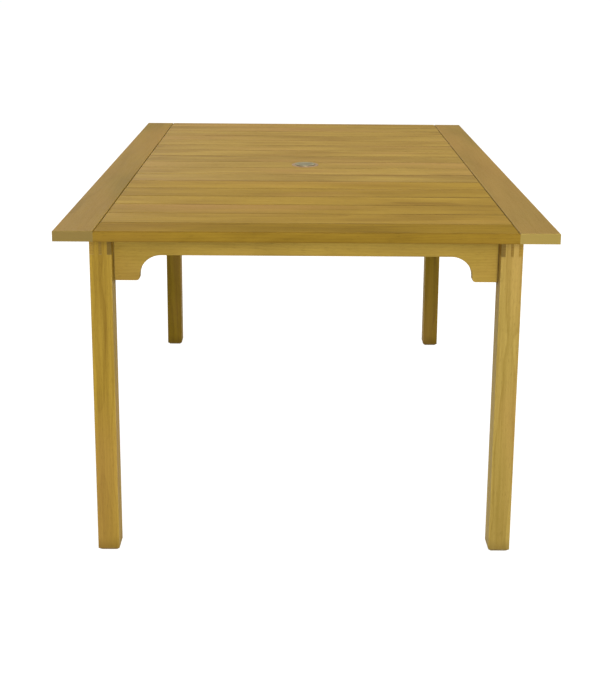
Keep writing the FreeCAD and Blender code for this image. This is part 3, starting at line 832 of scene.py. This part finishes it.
@dataclass(frozen=True)
class TableTop:
    """Cross slats between two long rails, with battens below."""

    field_wood: OiledWood = OiledWood(
        pale=screen(182, 150, 66),
        deep=screen(133, 100, 33),
        ring_mark=0.35,
        streak_mark=1.35,
        fibre_mark=0.45,
        relief=0.22,
        edge_band_mark=0.1,
        gloss=0.18,
        # The gaps to the neighbouring slats are darkened: painted shade with some soiling.
        seam_mark=0.9,
        seam_patch=0.75,
    )
    golden_wood: OiledWood = replace(
        field_wood, pale=screen(186, 151, 54), deep=screen(137, 102, 25), gloss=0.12
    )
    front_wood: OiledWood = OiledWood(
        pale=screen(176, 141, 46),
        deep=screen(118, 89, 19),
        rosy=screen(166, 127, 54),
        # Darker along its edges.
        edge_band=screen(112, 82, 26),
        ring_mark=0.4,
        streak_mark=1.3,
        fibre_mark=0.4,
        relief=0.2,
        edge_band_mark=0.45,
        seam_mark=0.9,
        gloss=0.04,
    )
    # Shaded and lit copies of one rail wood: the left rail darker with greyer ends, the right paler with
    # lighter ends, painted as from a lamp on the right.
    shaded_left_rail_wood: OiledWood = OiledWood(
        pale=screen(155, 127, 43),
        deep=screen(117, 90, 27),
        rosy=screen(164, 126, 52),
        ring_mark=0.3,
        streak_mark=1.1,
        fibre_mark=0.4,
        pore_mark=0.25,
        relief=0.22,
        edge_band_mark=0.1,
        end_mark=0.6,
        end_colour=screen(134, 118, 69),
    )
    lit_right_rail_wood: OiledWood = replace(
        shaded_left_rail_wood,
        pale=screen(166, 137, 69),
        deep=screen(127, 101, 43),
        rosy=screen(170, 131, 67),
        ring_mark=0.2,
        streak_mark=0.9,
        fibre_mark=0.3,
        pore_mark=0.2,
        relief=0.12,
        end_mark=0.7,
        end_colour=screen(164, 144, 72),
    )
    batten_wood: OiledWood = OiledWood(end_mark=0.3, edge_band_mark=0.1)
    slats: int = 17
    golden_slats: int = 6
    # Darker front slats, so that the far ones are paler: painted sheen on the far part of the top.
    front_tones: tuple[float, ...] = (0.9, 0.88, 0.89, 0.91, 0.93, 0.95, 0.97)
    tone_spread: float = 0.055
    rosy_spread: tuple[float, float] = (-0.2, 0.12)
    rail_rosy: float = 0.35
    batten_tone: float = 0.9

    def slat_boards(self) -> list[Board]:
        """Lists the slats from the front end to the back end, each a little lighter or darker, the front ones
        darker so that the far ones stand paler as painted sheen.

        Returns:
            One board for each slat, with its number as its seed.
        """
        luck = random.Random(self.slats)
        boards = []
        for number in range(1, self.slats + 1):
            tone = self.front_tones[number - 1] if number <= len(self.front_tones) else 1.0
            tone *= 1 + luck.uniform(-self.tone_spread, self.tone_spread)
            rosy = luck.uniform(*self.rosy_spread)
            beside = [near for near in (number - 1, number + 1) if 1 <= near <= self.slats]
            meets = tuple(f"slat_{near:02d}" for near in beside)
            boards.append(Board(f"slat_{number:02d}", Grain.CROSSWISE, number, tone, rosy, meets=meets))
        return boards

    def slat_wood(self, number: int) -> OiledWood:
        """Picks the wood of a slat, which grows paler from the front end to the back as painted sheen on the
        far slats.

        Args:
            number: Number of the slat, from the front end.

        Returns:
            Its wood.
        """
        if number == 1:
            return self.front_wood
        return self.golden_wood if number <= self.golden_slats else self.field_wood

    def dress(self) -> None:
        """Gives every board of the top its own wood."""
        for board in self.slat_boards():
            coat(board.node, self.slat_wood(board.seed).material(board))
        rail_woods = {"left": self.shaded_left_rail_wood, "right": self.lit_right_rail_wood}
        for step, (side, wood) in enumerate(rail_woods.items()):
            rail = Board(f"rail_{side}", Grain.LENGTHWISE, Seed.RAIL.value + step, rosy=self.rail_rosy)
            coat(rail.node, wood.material(rail))
            seed = Seed.BATTEN.value + step
            batten = Board(f"batten_{side}", Grain.LENGTHWISE, seed, self.batten_tone)
            coat(batten.node, self.batten_wood.material(batten))


@dataclass(frozen=True)
class Base:
    """Four legs under two side beams, with aprons and brackets between them."""

    leg_wood: OiledWood = OiledWood(
        wander=Figure(along=3.0, across=9.0, layers=2.0, weight=0.5),
        streaks=Figure(along=2.2, across=75.0, layers=4.0, weight=0.6),
        ring_step=0.0065,
        ring_wander=0.022,
        ring_mark=0.4,
        edge_band_mark=0.2,
        # The inner face beside the apron is darkened: painted shade in the recess, with some soiling.
        seam_reach=0.014,
        seam_patch=0.1,
        foot_mark=0.35,
    )
    beam_wood: OiledWood = OiledWood(end_mark=0.42, end_colour=screen(104, 84, 36))
    # Paler copy of the leg wood for the front right leg: painted light, as from a lamp on the right.
    lit_front_right_leg_wood: OiledWood = replace(leg_wood, pale=screen(197, 168, 85), deep=screen(149, 122, 47))
    # Darker copy of the leg wood for the back legs: painted shade, for the shade under the table.
    shaded_back_leg_wood: OiledWood = replace(
        leg_wood, pale=screen(153, 124, 22), deep=screen(109, 84, 9), edge_band_mark=0.1
    )
    apron_wood: OiledWood = OiledWood(
        pale=screen(191, 159, 66),
        deep=screen(138, 109, 34),
        ring_mark=0.25,
        edge_band_mark=0.12,
        # The apron's ends by the legs are darkened: painted shade in the corners, with some soiling.
        seam_mark=0.65,
        seam_reach=0.004,
        seam_patch=0.2,
    )
    dowel_wood: OiledWood = OiledWood(pale=screen(214, 188, 140), deep=screen(180, 150, 100))
    # Darkens both aprons: painted shade for the shade under the overhang of the top.
    apron_tone: float = 0.93
    finger_shade_lean: float = 0.4

    def dress(self) -> None:
        """Gives every piece of the base its own wood."""
        corners = {
            "front_left": self.leg_wood,
            "front_right": self.lit_front_right_leg_wood,
            "back_left": self.shaded_back_leg_wood,
            "back_right": self.shaded_back_leg_wood,
        }
        for step, (corner, wood) in enumerate(corners.items()):
            apron = f"apron_{corner.split('_')[0]}"
            leg = Board(f"leg_{corner}", Grain.UPRIGHT, Seed.LEG.value + step, meets=(apron,))
            coat(leg.node, wood.material(leg))
            bracket = Board(f"bracket_{corner}", Grain.LENGTHWISE, Seed.BRACKET.value + step)
            coat(bracket.node, self.apron_wood.material(bracket))
        # The fingers' ends are darker on the inner side: painted shade beside the apron.
        for seed, (side, inwards) in enumerate((("left", 1), ("right", -1)), start=Seed.BEAM.value):
            lean = inwards * self.finger_shade_lean
            beam = Board(f"side_beam_{side}", Grain.LENGTHWISE, seed, end_shade_lean=lean)
            coat(beam.node, self.beam_wood.material(beam))
        for seed, end in enumerate(("front", "back"), start=Seed.APRON.value):
            legs = (f"leg_{end}_left", f"leg_{end}_right")
            apron = Board(f"apron_{end}", Grain.CROSSWISE, seed, self.apron_tone, meets=legs)
            coat(apron.node, self.apron_wood.material(apron))
        dowels = Board("joint_dowels", Grain.CROSSWISE, Seed.DOWEL.value)
        coat(dowels.node, self.dowel_wood.material(dowels))


@dataclass(frozen=True)
class ParasolFitting:
    """Block, flanged ring and lift-out cap in the middle of the top."""

    block_wood: OiledWood = OiledWood(end_mark=0.3)
    cap_plastic: MouldedPlastic = MouldedPlastic()
    ring_metal: TurnedMetal = TurnedMetal()
    plug_radius: float = 0.02465
    plug_wall: float = 0.0024
    plug_round: float = 0.0006
    plug_segments: int = 2
    disc_thick: float = 0.0022
    rim_round: float = 0.0008
    rim_segments: int = 4
    dish_radius: float = 0.0205
    dish_depth: float = 0.0005
    notch_radius: float = 0.009
    notch_depth: float = 0.002
    turns: int = 120
    block_tone: float = 0.9

    def build_cap(self) -> None:
        """Moulds the cap in place of the plain one: a dished disc with a finger notch, over a hollow plug."""
        low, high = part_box("parasol_cap")
        rim = high.x
        top = high.z
        seat = top - self.disc_thick
        inside = self.plug_radius - self.plug_wall
        floor = top - self.dish_depth
        profile = [
            (0.0, floor),
            (self.dish_radius, floor),
            (self.dish_radius + self.dish_depth, top),
            (rim, top),
            (rim, seat),
            (self.plug_radius, seat),
            (self.plug_radius, low.z),
            (inside, low.z),
            (inside, seat),
            (0.0, seat),
        ]
        shell = spun(profile, self.turns)
        ease(
            shell,
            self.rim_round,
            self.rim_segments,
            lambda spot: spot.z > top - WELD and spot.xy.length > rim - WELD,
        )
        ease(shell, self.plug_round, self.plug_segments, lambda spot: spot.z < low.z + WELD)
        self.press_notch(shell, rim, seat)
        cap = piece("cap_moulding", shell, self.cap_plastic.material("cap_plastic", seat, rim))
        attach(cap, "cap")
        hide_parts("parasol_cap")

    def press_notch(self, shell: bmesh.types.BMesh, rim: float, seat: float) -> None:
        """Scoops the front of the disc out round a fingertip, wider at the top than at the seat.

        Args:
            shell: Mesh of the cap.
            rim: Radius of the disc.
            seat: Height of the disc's underside.
        """
        finger = Vector((0.0, -(rim + self.notch_radius - self.notch_depth)))
        for vert in shell.verts:
            reach = vert.co.xy - finger
            radius = self.notch_radius + vert.co.z - seat
            if radius >= self.notch_radius - WELD and reach.length < radius:
                vert.co.xy = finger + reach.normalized() * radius

    def dress(self) -> None:
        """Gives the block and the ring their finishes."""
        block = Board("parasol_block", Grain.CROSSWISE, Seed.BLOCK.value, self.block_tone)
        coat(block.node, self.block_wood.material(block))
        coat("parasol_ring", self.ring_metal.material("ring_metal"))


@dataclass(frozen=True)
class Fasteners:
    """Screws, bolts, washers and barrel nuts."""

    groups: tuple[str, ...] = ("short_screws", "long_screws", "apron_bolts", "apron_washers", "barrel_nuts")
    plating: ZincSteel = ZincSteel()

    def dress(self) -> None:
        """Plates every group of fasteners."""
        steel = self.plating.material("zinc_steel")
        for group in self.groups:
            coat(group, steel)


@dataclass(frozen=True)
class SoftBox:
    """Square area light that points at a spot on the table."""

    name: str
    place: Point
    aim: Point
    side: float
    power: float

    def build(self) -> None:
        """Hangs the light and turns it to its aim."""
        lamp = bpy.data.lights.new(self.name, "AREA")
        lamp.size = self.side
        lamp.energy = self.power
        hung = bpy.data.objects.new(self.name, lamp)
        hung.location = self.place
        hung.rotation_euler = (Vector(self.aim) - hung.location).to_track_quat("-Z", "Y").to_euler()
        bpy.context.scene.collection.objects.link(hung)
        LOG.info("%s hangs at %s", self.name, self.place)


@dataclass(frozen=True)
class Studio:
    """Pale floor, even sky and soft boxes round the table."""

    floor_radius: float = 80.0
    floor_drop: float = 0.0003
    floor_corners: int = 96
    sky: float = 0.3
    boxes: tuple[SoftBox, ...] = (
        SoftBox("front_box", place=(0.3, -3.68, 1.25), aim=(0.0, -0.58, 0.5), side=1.8, power=83.0),
        SoftBox("top_box", place=(0.3, 0.5, 4.2), aim=(0.0, 0.2, 0.76), side=3.4, power=101.0),
        SoftBox("back_box", place=(-2.5, 5.0, 3.0), aim=(0.0, 0.6, 0.5), side=2.5, power=50.0),
        SoftBox("left_box", place=(-5.0, 0.7, 1.1), aim=(0.0, 0.0, 0.5), side=2.5, power=110.0),
        SoftBox("right_box", place=(5.0, 0.7, 1.1), aim=(0.0, 0.0, 0.5), side=2.5, power=110.0),
    )

    def lay_floor(self) -> None:
        """Lays the floor, which doesn't throw its own glow back at the table."""
        disc = bmesh.new()
        bmesh.ops.create_circle(disc, cap_ends=True, segments=self.floor_corners, radius=self.floor_radius)
        bmesh.ops.translate(disc, verts=disc.verts, vec=(0.0, 0.0, -self.floor_drop))
        floor = piece("floor", disc, PaleFloor().material("floor_paint"))
        floor.visible_diffuse = False

    def light_sky(self) -> None:
        """Lights the table evenly from all round, in front of a white background."""
        white = toned(WHITE)
        recipe = Recipe(bpy.data.worlds.new("sky"))
        seen = recipe.wire("ShaderNodeLightPath", {}, {}, "Is Camera Ray")
        light = recipe.wire("ShaderNodeBackground", {}, {"Color": white, "Strength": self.sky})
        backdrop = recipe.wire("ShaderNodeBackground", {}, {"Color": white, "Strength": 1.0})
        both = recipe.blend(seen, light, backdrop)
        recipe.feed(recipe.tree.nodes["World Output"], {"Surface": both})
        bpy.context.scene.world = recipe.owner

    def build(self) -> None:
        """Sets up the floor, the sky and the boxes."""
        self.lay_floor()
        self.light_sky()
        bpy.context.scene.view_settings.view_transform = "Standard"
        for box in self.boxes:
            box.build()


@dataclass(frozen=True)
class Viewpoint:
    """Camera in front of one short end of the table, a little above the top."""

    place: Point = (-0.0191, -3.0251, 1.3324)
    yaw: float = 0.0077
    pitch: float = 0.2007
    roll: float = -0.008
    image_height: float = 700.0
    focal_pixels: float = 1113.8
    axis_above_middle: float = 169.1
    film: float = 36.0

    def build(self) -> None:
        """Sets the camera up."""
        ahead = Vector(
            (
                math.sin(self.yaw) * math.cos(self.pitch),
                math.cos(self.yaw) * math.cos(self.pitch),
                -math.sin(self.pitch),
            )
        )
        level = Vector((math.cos(self.yaw), -math.sin(self.yaw), 0.0))
        down = ahead.cross(level)
        right = level * math.cos(self.roll) + down * math.sin(self.roll)
        upright = level * math.sin(self.roll) - down * math.cos(self.roll)
        lens = bpy.data.cameras.new("viewpoint")
        lens.sensor_width = self.film
        lens.lens = self.focal_pixels / self.image_height * self.film
        lens.shift_y = -self.axis_above_middle / self.image_height
        camera = bpy.data.objects.new("viewpoint", lens)
        turn = Matrix((right, upright, -ahead)).transposed().to_4x4()
        camera.matrix_world = Matrix.Translation(self.place) @ turn
        bpy.context.scene.collection.objects.link(camera)
        bpy.context.scene.camera = camera
        LOG.info("camera stands at %s", self.place)


def main() -> None:
    """Dresses the table from the top down, then sets up the studio and the camera."""
    logging.basicConfig(level=logging.INFO, format="%(name)s: %(message)s")
    TableTop().dress()
    Base().dress()
    fitting = ParasolFitting()
    fitting.build_cap()
    fitting.dress()
    Fasteners().dress()
    Studio().build()
    Viewpoint().build()


if __name__ == "__main__":
    main()
